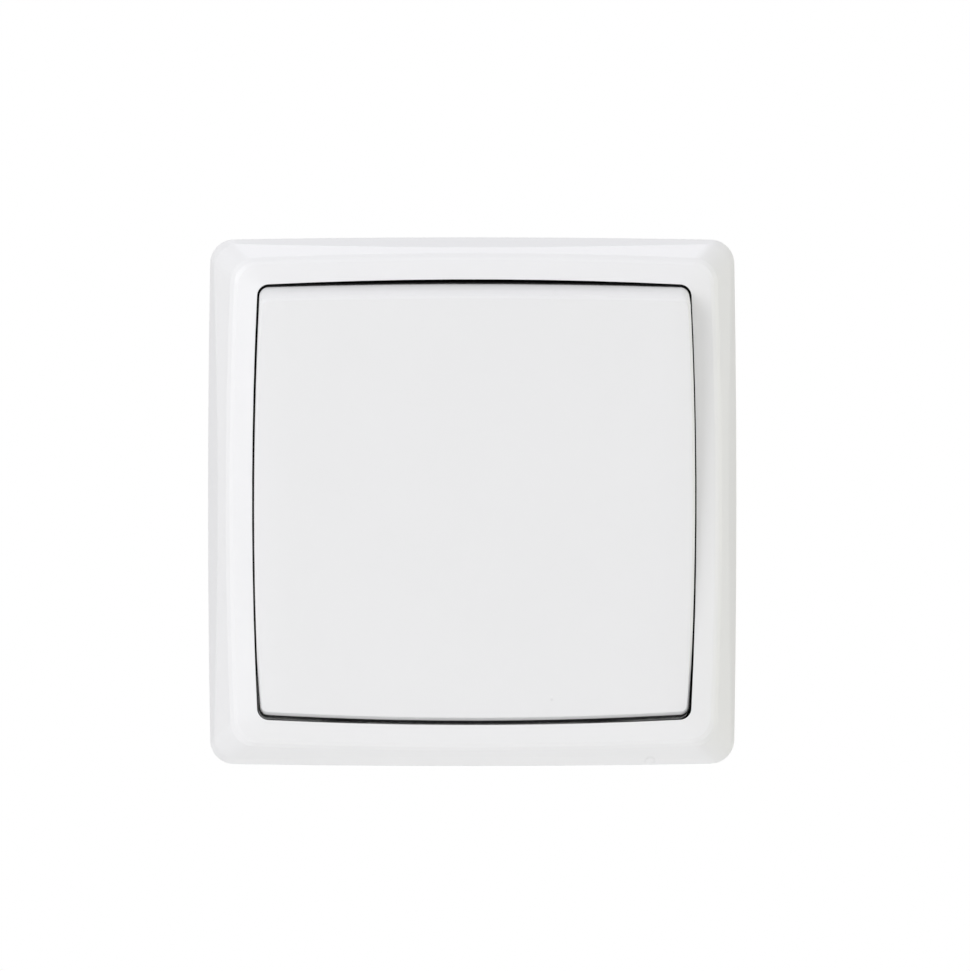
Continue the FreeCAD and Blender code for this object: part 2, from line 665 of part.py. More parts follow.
def base_housing():
    """Moulded housing: chamfered block with claw recesses, chamber, bearings and terminal seats."""
    h = HOUSING_HALF
    c = HOUSING_HALF - HOUSING_CORNER
    outline = [
        V(h, 0, c), V(c, 0, h), V(-c, 0, h), V(-h, 0, c),
        V(-h, 0, -c), V(-c, 0, -h), V(c, 0, -h), V(h, 0, -c)]
    block = prism(outline, V(0, HOUSING_DEPTH, 0))
    block = block.makeChamfer(HOUSING_EDGE, [e for e in block.Edges if on_level(e, HOUSING_DEPTH)])
    cuts = [box(
        -CAVITY_HALF_X, CAVITY_HALF_X, 0, FLOOR_FRONT, -CAVITY_HALF_Z, CAVITY_HALF_Z)]
    for side in (-1, 1):
        recess = box(RECESS_X, h, 0, HOUSING_DEPTH, -RECESS_HALF, RECESS_HALF)
        cuts.append(recess if side > 0 else mirror_x(recess))
        x = side * TERMINAL_X
        cuts.append(rod(WIRE_ENTRY_R, (x, FLOOR_FRONT, WIRE_ENTRY_Z), Y_AXIS, HOUSING_FLOOR))
        screw_hole = TERMINAL_SCREW_R + THREAD_PLAY
        cuts.append(rod(screw_hole, (x, CLAMP_MIDDLE, -h), Z_AXIS, h - CAVITY_HALF_Z))
    block = block.cut(Part.Compound(cuts))

    added = [block]
    for side in (-1, 1):
        rail = box(CAVITY_HALF_X, SPIGOT_HALF, -CARRIER_T, 0, -SPIGOT_HALF, SPIGOT_HALF)
        ear = box(CAVITY_HALF_X, SPIGOT_HALF, -BEARING_OUT, 0, -BEARING_HALF, BEARING_HALF)
        part = fuse([rail, ear])
        entry = box(
            CAVITY_HALF_X, SPIGOT_HALF, -BEARING_OUT, -PIVOT_OUT, -SNAP_WIDTH / 2.0, SNAP_WIDTH / 2.0)
        part = part.cut(entry)
        added.append(part if side > 0 else mirror_x(part))
        pillar = box(
            TIP_X - TIP_R, TIP_X + TIP_R, STRIP_BACK, FLOOR_FRONT, PUSHER_Z - TIP_R, PUSHER_Z + TIP_R)
        added.append(pillar if side > 0 else mirror_x(pillar))
    added += at_corners(cover_block, CAVITY_HALF_X, CAVITY_HALF_Z)
    added += at_corners(carrier_hook, HOOK_X, HOUSING_HALF)
    added += [cover_catch(1), cover_catch(-1)]
    added.append(box(-WEB_T / 2.0, WEB_T / 2.0, WEB_BACK, FLOOR_FRONT, -CAVITY_HALF_Z, WEB_TOP))
    added.append(rod(
        SPRING_SEAT_R, (0, FLOOR_FRONT - SPRING_SEAT_LENGTH, PUSHER_Z), Y_AXIS, SPRING_SEAT_LENGTH))
    body = fuse(added)
    bearing = rod(TRUNNION_R + BEARING_PLAY, (-SPIGOT_HALF, -PIVOT_OUT, 0), X_AXIS, 2.0 * SPIGOT_HALF)
    return body.cut(bearing)


def cover_block(x, z):
    """Corner block of the chamber that the cover rests on."""
    side = 1 if x > 0 else -1
    up = 1 if z > 0 else -1
    xs = sorted((x - side * COVER_BLOCK, x))
    zs = sorted((z - up * COVER_BLOCK, z))
    y0 = COVER_BACK + COVER_T
    return box(xs[0], xs[1], y0, y0 + COVER_BLOCK_LENGTH, zs[0], zs[1])


def cover_catch(up):
    """Sloped nose on the chamber's wall that the cover snaps behind."""
    z = up * CAVITY_HALF_Z
    tip = z - up * CATCH_LIP
    outline = [V(-HOOK_WIDTH / 2.0, COVER_BACK, z), V(-HOOK_WIDTH / 2.0, COVER_BACK, tip),
               V(-HOOK_WIDTH / 2.0, COVER_BACK - 2.0 * CATCH_LIP, z)]
    return prism(outline, V(HOOK_WIDTH, 0, 0))


def carrier_hook(x, z):
    """Hook that grows out of the housing's wall and holds the carrier from the front."""
    up = 1 if z > 0 else -1
    inner = z - up * (HOUSING_HALF - CAVITY_HALF_Z)
    x0 = x - HOOK_WIDTH / 2.0
    outline = [
        V(x0, 0, inner),
        V(x0, -CARRIER_T - 2.0 * HOOK_LIP, inner),
        V(x0, -CARRIER_T - 2.0 * HOOK_LIP, z - up * HOOK_LIP),
        V(x0, -CARRIER_T, z + up * HOOK_LIP),
        V(x0, -CARRIER_T, z),
        V(x0, 0, z)]
    return prism(outline, V(HOOK_WIDTH, 0, 0))


def hook_window(x, z):
    """Window in the carrier for one hook."""
    up = 1 if z > 0 else -1
    half = HOOK_WIDTH / 2.0 + SPIGOT_PLAY
    inner = z - up * (HOUSING_HALF - CAVITY_HALF_Z + SPIGOT_PLAY)
    zs = sorted((inner, z + up * SPIGOT_PLAY))
    return box(x - half, x + half, -CARRIER_T, 0, zs[0], zs[1])


def mechanism_cover():
    """Cover of the contact chamber with a square guide sleeve for the plunger."""
    half_x = CAVITY_HALF_X - COVER_PLAY
    half_z = CAVITY_HALF_Z - COVER_PLAY
    plate = box(-half_x, half_x, COVER_BACK, COVER_BACK + COVER_T, -half_z, half_z)
    bore = STEM_HALF + SLIDE_PLAY
    sleeve = bore + GUIDE_WALL
    tube = box(-sleeve, sleeve, COVER_BACK, GUIDE_BACK, PUSHER_Z - sleeve, PUSHER_Z + sleeve)
    body = fuse([plate, tube])
    return body.cut(box(-bore, bore, COVER_BACK, GUIDE_BACK, PUSHER_Z - bore, PUSHER_Z + bore))


def plunger():
    """Square plunger with a window for the bridge and a seat for the return spring."""
    z = PUSHER_Z
    outer = WINDOW_HALF + WINDOW_CHEEK
    stem = box(-STEM_HALF, STEM_HALF, PLUNGER_FRONT, CAGE_START, z - STEM_HALF, z + STEM_HALF)
    yoke = box(-STEM_HALF, STEM_HALF, CAGE_START, PLUNGER_BACK, z - outer, z + outer)
    window = box(-STEM_HALF, STEM_HALF, WINDOW_FRONT, BRIDGE_BACK, z - WINDOW_HALF, z + WINDOW_HALF)
    seat = rod(SPRING_SEAT_R, (0, PLUNGER_BACK, z), Y_AXIS, SPRING_SEAT_LENGTH)
    return fuse([stem, yoke.cut(window), seat])


def contact_bridge():
    """Brass bridge strip with rounded ends."""
    z = PUSHER_Z
    r = BRIDGE_WIDTH / 2.0
    run = BRIDGE_HALF_LENGTH - r
    return fuse([
        box(-run, run, BRIDGE_FRONT, BRIDGE_BACK, z - r, z + r),
        rod(r, (-run, BRIDGE_FRONT, z), Y_AXIS, BRIDGE_T),
        rod(r, (run, BRIDGE_FRONT, z), Y_AXIS, BRIDGE_T)])


def tip_pair(y0):
    """Two flat contact tips, one at each end of the bridge."""
    return Part.Compound([rod(TIP_R, (x, y0, PUSHER_Z), Y_AXIS, TIP_T) for x in (-TIP_X, TIP_X)])


def bridge_contacts():
    return tip_pair(BRIDGE_BACK)


def fixed_contacts():
    return tip_pair(FIXED_TIP_FRONT)


def return_spring():
    return coil(RETURN_R, RETURN_WIRE, RETURN_TURNS, 0, PUSHER_Z, PLUNGER_BACK, FLOOR_FRONT)


def contact_spring():
    return coil(CONTACT_R, CONTACT_WIRE, CONTACT_TURNS, 0, PUSHER_Z, WINDOW_FRONT, BRIDGE_FRONT)


def terminal_bar():
    """Brass strip from the fixed contact down to the bar that the clamp cage surrounds."""
    strip = box(
        TIP_X - BAR_WIDTH / 2.0, TIP_X + BAR_WIDTH / 2.0, STRIP_FRONT, STRIP_BACK,
        BAR_TOP_Z - BAR_T, STRIP_TOP_Z)
    bar = box(
        TERMINAL_X - BAR_WIDTH / 2.0, TERMINAL_X + BAR_WIDTH / 2.0, STRIP_FRONT, FLOOR_FRONT,
        BAR_TOP_Z - BAR_T, BAR_TOP_Z)
    hole = rod(
        TERMINAL_SCREW_R + CAGE_PLAY / 2.0, (TERMINAL_X, CLAMP_MIDDLE, BAR_TOP_Z - BAR_T), Z_AXIS, BAR_T)
    return fuse([strip, bar]).cut(hole)


def terminal_cage():
    """Clamp cage around the bar, with the thread in its bottom wall."""
    half = CAGE_WIDTH / 2.0
    outer = box(
        TERMINAL_X - half, TERMINAL_X + half, CLAMP_FRONT, CLAMP_BACK, CLAMP_BOTTOM_Z, CAGE_TOP_Z)
    inner = box(
        TERMINAL_X - half + CAGE_WALL, TERMINAL_X + half - CAGE_WALL, CLAMP_FRONT, CLAMP_BACK,
        CLAMP_BOTTOM_Z + CAGE_WALL, CAGE_TOP_Z - CAGE_WALL)
    thread = rod(
        TERMINAL_SCREW_R + THREAD_PLAY, (TERMINAL_X, CLAMP_MIDDLE, CLAMP_BOTTOM_Z), Z_AXIS, CAGE_WALL)
    return outer.cut(inner).cut(thread)


def terminal_screw():
    piece = screw(TERMINAL_HEAD_R, TERMINAL_HEAD_T, TERMINAL_SCREW_R, TERMINAL_SCREW_LENGTH)
    piece.rotate(V(0, 0, 0), X_AXIS, 90)
    piece.translate(V(TERMINAL_X, CLAMP_MIDDLE, -HOUSING_HALF - THREAD_PLAY))
    return piece


def claw():
    """Toothed claw on two pins: its short arm takes the screw, its long arm swings outwards."""
    half = CLAW_WIDTH / 2.0
    front = CLAW_PIVOT_BACK - CLAW_T / 2.0
    back = front + CLAW_T
    arm = box(CLAW_PIVOT_X, CLAW_OUT_X, front, back, -half, half)
    knuckle = rod(CLAW_T / 2.0, (CLAW_PIVOT_X, CLAW_PIVOT_BACK, -half), Z_AXIS, CLAW_WIDTH)
    leg = box(CLAW_OUT_X - CLAW_T, CLAW_OUT_X, front, CLAW_REACH, -half, half)
    pin_half = EAR_INNER_Z + EAR_T
    pin = rod(CLAW_PIN_R, (CLAW_PIVOT_X, CLAW_PIVOT_BACK, -pin_half), Z_AXIS, 2 * pin_half)
    pitch = CLAW_WIDTH / CLAW_TEETH
    outline = [V(CLAW_OUT_X - CLAW_T, CLAW_REACH, -half)]
    for n in range(CLAW_TEETH):
        z = -half + n * pitch
        outline += [V(CLAW_OUT_X, CLAW_REACH, z), V(CLAW_OUT_X + CLAW_TOOTH, CLAW_REACH, z + pitch / 2.0)]
    outline += [V(CLAW_OUT_X, CLAW_REACH, half), V(CLAW_OUT_X - CLAW_T, CLAW_REACH, half)]
    teeth = prism(outline, V(0, CLAW_T, 0))
    body = fuse([arm, knuckle, leg, pin, teeth])
    angle = math.radians(CLAW_SWING_DEG)
    shift = CLAW_T / 2.0 * math.sin(angle)
    play = CLAW_SCREW_R + CLAW_SLOT_PLAY
    near = min(CLAW_ARM - play, (CLAW_ARM - play - shift) / math.cos(angle))
    far = (CLAW_ARM + play + shift) / math.cos(angle)
    slot = box(CLAW_PIVOT_X + near, CLAW_PIVOT_X + far, front, back, -play, play)
    return body.cut(slot)


def claw_screw():
    piece = screw(CLAW_HEAD_R, CLAW_HEAD_T, CLAW_SCREW_R, CLAW_SCREW_LENGTH)
    piece.translate(V(CLAW_SCREW_X, -CARRIER_T, 0))
    return piece


def claw_nut():
    """Round cross nut that rolls on the back of the claw's short arm."""
    barrel = rod(NUT_R, (CLAW_SCREW_X, NUT_BACK, -NUT_LENGTH / 2.0), Z_AXIS, NUT_LENGTH)
    thread = rod(CLAW_SCREW_R + THREAD_PLAY, (CLAW_SCREW_X, NUT_BACK - NUT_R, 0), Y_AXIS, 2 * NUT_R)
    return barrel.cut(thread)


SINGLE = {
    "cover_frame": cover_frame,
    "push_plate": push_plate,
    "rocker_cradle": rocker_cradle,
    "support_plate": support_plate,
    "base_housing": base_housing,
    "mechanism_cover": mechanism_cover,
    "plunger": plunger,
    "return_spring": return_spring,
    "contact_spring": contact_spring,
    "contact_bridge": contact_bridge,
    "bridge_contacts": bridge_contacts,
    "fixed_contacts": fixed_contacts,
}

PAIRED = {
    "terminal_bar": terminal_bar,
    "terminal_cage": terminal_cage,
    "terminal_screw": terminal_screw,
    "claw": claw,
    "claw_screw": claw_screw,
    "claw_nut": claw_nut,
}


def main():
    os.makedirs("parts", exist_ok=True)
    shapes = {name: make() for name, make in SINGLE.items()}
    for name, make in PAIRED.items():
        right = make()
        shapes[name + "_right"] = right
        shapes[name + "_left"] = mirror_x(right)
    for name, shape in shapes.items():
        shape.exportStep("parts/" + name + ".step")


main()
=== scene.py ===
import math

import bmesh
import bpy
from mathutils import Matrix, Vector

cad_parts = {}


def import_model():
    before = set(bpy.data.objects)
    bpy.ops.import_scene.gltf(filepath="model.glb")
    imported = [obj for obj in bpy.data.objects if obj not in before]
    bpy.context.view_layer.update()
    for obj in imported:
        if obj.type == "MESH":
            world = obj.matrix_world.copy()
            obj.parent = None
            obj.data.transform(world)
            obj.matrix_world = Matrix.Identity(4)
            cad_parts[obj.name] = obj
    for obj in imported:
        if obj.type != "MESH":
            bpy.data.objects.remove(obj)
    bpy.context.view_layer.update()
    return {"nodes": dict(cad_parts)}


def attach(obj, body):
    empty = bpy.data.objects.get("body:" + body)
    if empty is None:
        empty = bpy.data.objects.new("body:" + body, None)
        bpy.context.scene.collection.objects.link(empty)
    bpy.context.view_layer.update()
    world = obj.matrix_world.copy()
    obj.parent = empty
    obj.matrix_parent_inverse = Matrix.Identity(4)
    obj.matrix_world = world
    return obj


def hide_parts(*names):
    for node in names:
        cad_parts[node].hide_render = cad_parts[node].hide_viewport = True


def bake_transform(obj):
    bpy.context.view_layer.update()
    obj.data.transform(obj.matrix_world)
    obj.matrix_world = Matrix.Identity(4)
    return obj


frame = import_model()
scene = bpy.context.scene
scene.view_settings.view_transform = "Standard"

# Lengths are in metres, in the CAD's frame: X to the right, Z up and -Y out of the wall

# Photograph's size and the place of the object's centre in it, in pixels
PHOTO_WIDTH = 970.0
PHOTO_HEIGHT = 971.0
CENTRE_X = 472.4
CENTRE_Y = 501.75
PIXELS_PER_M = 6525.0

# Camera, with its sensor in millimetres
CAMERA_DISTANCE = 2.6
CAMERA_LEFT_DEG = 1.85
CAMERA_UP_DEG = 0.4
CAMERA_SENSOR = 36.0
CAMERA_CLIP_START = 0.01
CAMERA_CLIP_END = 20.0

# Light from all around. From behind only a share of it is left: the limits are where the
# direction's Y begins to weaken it and where the share is reached.
WORLD_LIGHT = 0.488
LIGHT_BEHIND = 0.27
BEHIND_LIMITS = (0.7, 0.95)

# Square lamps aimed at the origin: name, azimuth to the right of the camera's side and
# elevation in degrees, distance, side, power in watts and colour
LAMPS = (
    ("key", -42.0, 18.0, 1.2, 0.9, 7.5, (0.99, 0.99, 1.0)),
    ("top", 0.0, 75.0, 1.0, 0.6, 0.75, (0.88, 0.88, 1.0)),
    ("high_fill", 50.0, 40.0, 1.2, 0.6, 1.1, (0.93, 0.93, 1.0)),
    ("right_fill", 85.0, 5.0, 1.2, 0.8, 2.5, (1.0, 1.0, 0.80)),
    ("front_fill", 65.0, 10.0, 1.2, 0.8, 0.8, (1.0, 1.0, 0.88)),
    ("low_fill", 0.0, -80.0, 0.42, 0.3, 0.27, (1.0, 1.0, 1.0)),
    ("back_fill", 180.0, 0.0, 1.2, 0.4, 2.0, (1.0, 1.0, 1.0)),
    ("back_high", 180.0, 48.0, 1.2, 0.5, 1.0, (0.94, 0.94, 1.0)),
    ("back_low", 180.0, -40.0, 0.6, 0.3, 0.12, (1.0, 1.0, 1.0)),
)

# Pale floor, outside the photograph's frame
FLOOR_Z = -0.45
FLOOR_HALF = 0.85
FLOOR_COLOUR = (0.86, 0.86, 0.86)
FLOOR_ROUGHNESS = 0.8

# Colours
WHITE = (0.857, 0.857, 0.865)
PLATE_WHITE = (0.836, 0.836, 0.843)
GREY = (0.60, 0.60, 0.58)
ZINC = (0.66, 0.67, 0.68)
BRASS = (0.78, 0.60, 0.32)
SILVER = (0.80, 0.80, 0.78)
STEEL = (0.55, 0.55, 0.56)

# Painted shade in narrow gaps: how much colour is left by how open the place is, how near
# the next wall is, and the normal's Y below which a surface counts as facing the front
GAP_SHADE_STOPS = ((0.15, 0.01), (0.38, 0.06), (0.53, 1.0))
GAP_SHADE_SAMPLES = 8
PLASTIC_GAP = 0.004
CARRIER_GAP = 0.06
FRONT_NORMAL_Y = -0.5

# Faint marks: x, z, radius, half width and darkness, a radius of 0 makes a dot. They are
# whole in front of the first Y and gone behind the second.
FRAME_MARKS = (
    (0.02712, -0.03980, 0.00072, 0.00032, 0.065),
    (0.02668, -0.03927, 0.0, 0.00028, 0.05),
    (0.02742, -0.04012, 0.0, 0.00034, 0.20),
    (0.02772, -0.04012, 0.0, 0.00034, 0.17),
)
PLATE_MARKS = (
    (0.01182, -0.03018, 0.0, 0.00036, 0.10),
    (0.01182, -0.02968, 0.0, 0.00030, -0.035),
)
MARKS_Y = (-0.0016, -0.0008)

# Noise textures: scale, detail and roughness
PLASTIC_CLOUDS = (60.0, 3.0, 0.55)
PLASTIC_GRAIN = (5200.0, 2.0, 0.6)
METAL_PATCHES = (180.0, 4.0, 0.6)
METAL_GRAIN_DETAIL = 3.0
METAL_GRAIN_ROUGHNESS = 0.65

# Metal: how strong its grain is, its darkest and lightest shade, and where in the pattern
# the roughness is lowest and highest
METAL_GRAIN = 0.12
METAL_SHADES = (0.9, 1.06)
PATCH_LIMITS = (0.3, 0.7)

# Plastic's specular level, height of any grain, samples of the softened edges, and the
# angle from which an edge of a screw or wire is sharp
PLASTIC_SPECULAR = 0.42
GRAIN_HEIGHT = 0.00002
BEVEL_SAMPLES = 6
SHARP_DEG = 35.0

# Sockets of the colour mix node: factor, first and second colour, and the result
MIX_INPUTS = (0, 6, 7)
MIX_RESULT = 2

# Springs, as in the CAD: start and end in Y, mean radius, wire diameter and turns. Then the
# gap to their seats, points per turn, sides of the wire, and the turns that lie closed at
# each end, with their pitch in wire diameters.
SPRING_Z = 0.0095
RETURN_SPRING = (0.01255, 0.021106, 0.0024, 0.0005, 6.0)
CONTACT_SPRING = (0.00725, 0.01055, 0.0016, 0.0004, 4.0)
SPRING_GAP = 0.00002
SPRING_STEPS = 40
WIRE_SIDES = 10
CLOSED_TURNS = 1.0
CLOSED_PITCH = 1.05

# Screws, as in the CAD: head radius and height, shank radius and length, pitch. Then where
# the right ones stand, the driver's slot, and the chamfers and sides of the heads.
CLAW_SCREW = (0.0027, 0.0015, 0.0015, 0.016, 0.0005)
TERMINAL_SCREW = (0.0027, 0.0016, 0.0016, 0.0064, 0.0006)
CLAW_SCREW_AT = (0.0222, -0.0012, 0.0)
TERMINAL_SCREW_AT = (0.009, 0.018456, -0.02105)
DRIVER_SLOT = 0.0008
DRIVER_DEPTH = 0.0007
HEAD_EDGE = 0.00015
HEAD_TOP_EDGE = 0.00024
HEAD_SIDES = 48
HALF_HEAD_SIDES = 24
UNDER_HEAD_SHARE = 0.8

# Thread: height as a share of the pitch, where root and crest end as shares of one pitch,
# rows per pitch, and the length and drop of the chamfer at the screw's end
THREAD_HEIGHT = 0.42
ROOT_END = 0.15
CREST_START = 0.5
CREST_END = 0.65
THREAD_ROWS = 8
SHANK_SIDES = 32
CHAMFER_LENGTH = 0.0006
CHAMFER_DROP = 0.0004


class Nodes:
    """Builds the nodes of a material or of the world. An input is a value or an output."""

    def __init__(self, owner):
        owner.use_nodes = True
        self.tree = owner.node_tree
        self.tree.nodes.clear()

    def feed(self, socket, value):
        """Links an output to the socket, or gives the socket a value of its own."""
        if isinstance(value, bpy.types.NodeSocket):
            self.tree.links.new(value, socket)
        else:
            socket.default_value = value

    def add(self, kind, inputs=None, **settings):
        """New node; inputs are named or numbered, settings are the node's own."""
        node = self.tree.nodes.new(kind)
        for key, value in settings.items():
            setattr(node, key, value)
        for key, value in (inputs or {}).items():
            self.feed(node.inputs[key], value)
        return node

    def row(self, kind, *values, **settings):
        """Node whose first inputs are given in their order."""
        return self.add(kind, dict(enumerate(values)), **settings)

    def split(self, vector):
        """Node with the parts X, Y and Z of a vector."""
        return self.add("ShaderNodeSeparateXYZ", {"Vector": vector})

    def noise(self, vector, scale, detail, roughness):
        """Noise pattern from 0 to 1 in the coordinates given."""
        node = self.add("ShaderNodeTexNoise", {
            "Vector": vector, "Scale": scale, "Detail": detail, "Roughness": roughness})
        return node.outputs["Fac"]

    def ramp(self, share, stops):
        """Grey colour that follows the stops of place and brightness."""
        node = self.add("ShaderNodeValToRGB", {"Fac": share})
        elements = node.color_ramp.elements
        while len(elements) < len(stops):
            elements.new(1.0)
        for element, (place, value) in zip(elements, stops):
            element.position = place
            element.color = opaque((value, value, value))
        return node.outputs["Color"]

    def remap(self, value, limits, results, interpolation="LINEAR"):
        """Takes the first limit to the first result and the second to the second."""
        node = self.add("ShaderNodeMapRange", {
            "Value": value, "From Min": limits[0], "From Max": limits[1],
            "To Min": results[0], "To Max": results[1]}, interpolation_type=interpolation)
        return node.outputs["Result"]

    def mix(self, factor, first, second, blend_type="MIX"):
        """Colour between the first and the second, or their product for MULTIPLY."""
        inputs = dict(zip(MIX_INPUTS, (factor, first, second)))
        node = self.add("ShaderNodeMix", inputs, data_type="RGBA", blend_type=blend_type)
        return node.outputs[MIX_RESULT]


def opaque(colour):
    """The colour as a socket takes it."""
    return (*colour, 1.0)


def shades(nodes, share, colour, dark, light):
    """Colour that varies between dark and light times itself."""
    low = tuple(part * dark for part in colour)
    high = tuple(min(part * light, 1.0) for part in colour)
    return nodes.mix(share, opaque(low), opaque(high))


def painted_gap_shade(nodes, colour, reach, front_only=False):
    """Paints shade into a colour in narrow gaps, where the next wall is nearer than reach.

    Gives the colour and how unshaded the surface is. The shade may be painted on the front only.
    """
    narrow = nodes.add("ShaderNodeAmbientOcclusion", {"Distance": reach}, samples=GAP_SHADE_SAMPLES)
    unshaded = nodes.ramp(narrow.outputs["AO"], GAP_SHADE_STOPS)
    where = 1.0
    if front_only:
        facing = nodes.split(nodes.add("ShaderNodeTexCoord").outputs["Normal"])
        where = nodes.row(
            "ShaderNodeMath", facing.outputs["Y"], FRONT_NORMAL_Y, operation="LESS_THAN").outputs[0]
    return nodes.mix(where, colour, unshaded, "MULTIPLY"), unshaded


def marked(nodes, position, colour, marks):
    """Darkens a colour by faint rings and dots that lie on the front only."""
    flat = nodes.row(
        "ShaderNodeVectorMath", position, (1.0, 0.0, 1.0), operation="MULTIPLY").outputs[0]
    front = nodes.remap(nodes.split(position).outputs["Y"], MARKS_Y, (1.0, 0.0))
    for x, z, radius, half_width, darkness in marks:
        away = nodes.row("ShaderNodeVectorMath", flat, (x, 0.0, z), operation="DISTANCE")
        off = nodes.row(
            "ShaderNodeMath", away.outputs["Value"], radius, operation="SUBTRACT").outputs[0]
        aside = nodes.row("ShaderNodeMath", off, operation="ABSOLUTE").outputs[0]
        shade = nodes.remap(aside, (0.0, half_width), (1.0 - darkness, 1.0), "SMOOTHSTEP")
        colour = nodes.mix(front, colour, shade, "MULTIPLY")
    return colour


def shaded(name, values):
    """New material with a shader whose inputs are given by name."""
    material = bpy.data.materials.new(name)
    nodes = Nodes(material)
    shader = nodes.add("ShaderNodeBsdfPrincipled", values)
    nodes.add("ShaderNodeOutputMaterial", {"Surface": shader.outputs["BSDF"]})
    return material, nodes, shader


def finish(nodes, shader, fine, grain, edge_r):
    """Fine grain on the surface and softened edges."""
    soft = nodes.add("ShaderNodeBevel", {"Radius": edge_r}, samples=BEVEL_SAMPLES)
    bump = nodes.add("ShaderNodeBump", {
        "Strength": grain, "Distance": GRAIN_HEIGHT, "Height": fine,
        "Normal": soft.outputs["Normal"]})
    nodes.feed(shader.inputs["Normal"], bump.outputs["Normal"])


def moulded_plastic(name, colour, roughness, grain, edge_r, tint=0.01, gap_reach=None, marks=()):
    """Moulded plastic: very fine grain, faint colour variation and softened edges.

    gap_reach is how near the next wall is in gaps that get painted shade and a rougher surface.
    """
    material, nodes, shader = shaded(name, {"Specular IOR Level": PLASTIC_SPECULAR})
    position = nodes.add("ShaderNodeTexCoord").outputs["Object"]
    clouds = nodes.noise(position, *PLASTIC_CLOUDS)
    tone = shades(nodes, clouds, colour, 1.0 - tint, 1.0 + tint)
    # Painted shade in narrow gaps, which are made rougher there too
    if gap_reach:
        tone, unshaded = painted_gap_shade(nodes, tone, gap_reach)
        nodes.feed(shader.inputs["Roughness"], nodes.remap(unshaded, (0.0, 1.0), (1.0, roughness)))
    else:
        nodes.feed(shader.inputs["Roughness"], roughness)
    if marks:
        tone = marked(nodes, position, tone, marks)
    nodes.feed(shader.inputs["Base Color"], tone)
    finish(nodes, shader, nodes.noise(position, *PLASTIC_GRAIN), grain, edge_r)
    return material


def metal(name, colour, roughness, spread, grain_scale, edge_r, streaks=None, gap_reach=None):
    """Metal with uneven roughness, a fine grain and softened edges.

    streaks stretches the pattern. gap_reach paints shade into gaps, on the front side only.
    """
    material, nodes, shader = shaded(name, {"Metallic": 1.0})
    position = nodes.add("ShaderNodeTexCoord").outputs["Object"]
    if streaks:
        position = nodes.add(
            "ShaderNodeMapping", {"Vector": position, "Scale": streaks}).outputs["Vector"]
    patches = nodes.noise(position, *METAL_PATCHES)
    stops = tuple(zip(PATCH_LIMITS, (roughness - spread, roughness + spread)))
    uneven = nodes.ramp(patches, stops)
    nodes.feed(shader.inputs["Roughness"], uneven)
    tone = shades(nodes, patches, colour, *METAL_SHADES)
    # Painted shade in narrow gaps, on the front side only
    if gap_reach:
        tone, _ = painted_gap_shade(nodes, tone, gap_reach, front_only=True)
    nodes.feed(shader.inputs["Base Color"], tone)
    fine = nodes.noise(position, grain_scale, METAL_GRAIN_DETAIL, METAL_GRAIN_ROUGHNESS)
    finish(nodes, shader, fine, METAL_GRAIN, edge_r)
    return material


def dress(material, *names):
    """Puts the material on the CAD's objects."""
    for name in names:
        for slot in frame["nodes"][name].material_slots:
            slot.material = material


def both(name):
    """Names of the pieces on both sides."""
    return [name + "_right", name + "_left"]


def away_from_centre(azimuth, elevation):
    """Direction from the object, azimuth to the right of the camera's side."""
    a = math.radians(azimuth)
    e = math.radians(elevation)
    return Vector((math.sin(a) * math.cos(e), -math.cos(a) * math.cos(e), math.sin(e)))


def aim(name, data, away, distance):
    """New object for a camera or lamp that looks at the origin."""
    aimed = bpy.data.objects.new(name, data)
    scene.collection.objects.link(aimed)
    aimed.location = away * distance
    aimed.rotation_euler = (-away).to_track_quat("-Z", "Y").to_euler()
    return aimed


def camera():
    """Photograph's camera: a little to the left and above, with a shifted picture."""
    data = bpy.data.cameras.new("camera")
    data.sensor_width = CAMERA_SENSOR
    data.sensor_fit = "HORIZONTAL"
    data.lens = CAMERA_SENSOR * CAMERA_DISTANCE / (PHOTO_WIDTH / PIXELS_PER_M)
    data.shift_x = (PHOTO_WIDTH / 2.0 - CENTRE_X) / PHOTO_WIDTH
    data.shift_y = (CENTRE_Y - PHOTO_HEIGHT / 2.0) / PHOTO_WIDTH
    data.clip_start = CAMERA_CLIP_START
    data.clip_end = CAMERA_CLIP_END
    away = away_from_centre(-CAMERA_LEFT_DEG, CAMERA_UP_DEG)
    scene.camera = aim("camera", data, away, CAMERA_DISTANCE)


def world():
    """Light that is weaker from behind. The camera sees white, and reflections are brighter."""
    surroundings = bpy.data.worlds.new("surroundings")
    scene.world = surroundings
    nodes = Nodes(surroundings)
    direction = nodes.split(nodes.add("ShaderNodeTexCoord").outputs["Generated"])
    share = nodes.remap(
        direction.outputs["Y"], BEHIND_LIMITS, (1.0, LIGHT_BEHIND), "SMOOTHSTEP")
    soft, reflected, shown = (
        nodes.add("ShaderNodeBackground", {"Color": colour, "Strength": strength}).outputs[0]
        for colour, strength in (
            (share, WORLD_LIGHT), (share, 1.0), (opaque((1.0, 1.0, 1.0)), 1.0)))
    path = nodes.add("ShaderNodeLightPath").outputs
    mirrored = nodes.row(
        "ShaderNodeMath", path["Is Glossy Ray"], path["Is Transmission Ray"], operation="MAXIMUM")
    light = nodes.row("ShaderNodeMixShader", mirrored.outputs[0], soft, reflected)
    mix = nodes.row("ShaderNodeMixShader", path["Is Camera Ray"], light.outputs[0], shown)
    nodes.add("ShaderNodeOutputWorld", {"Surface": mix.outputs[0]})


def lamps():
    """Hangs the lamps of the table round the object."""
    for name, azimuth, elevation, distance, size, power, colour in LAMPS:
        data = bpy.data.lights.new(name, "AREA")
        data.shape = "SQUARE"
        data.size = size
        data.energy = power
        data.color = colour
        aim(name, data, away_from_centre(azimuth, elevation), distance)


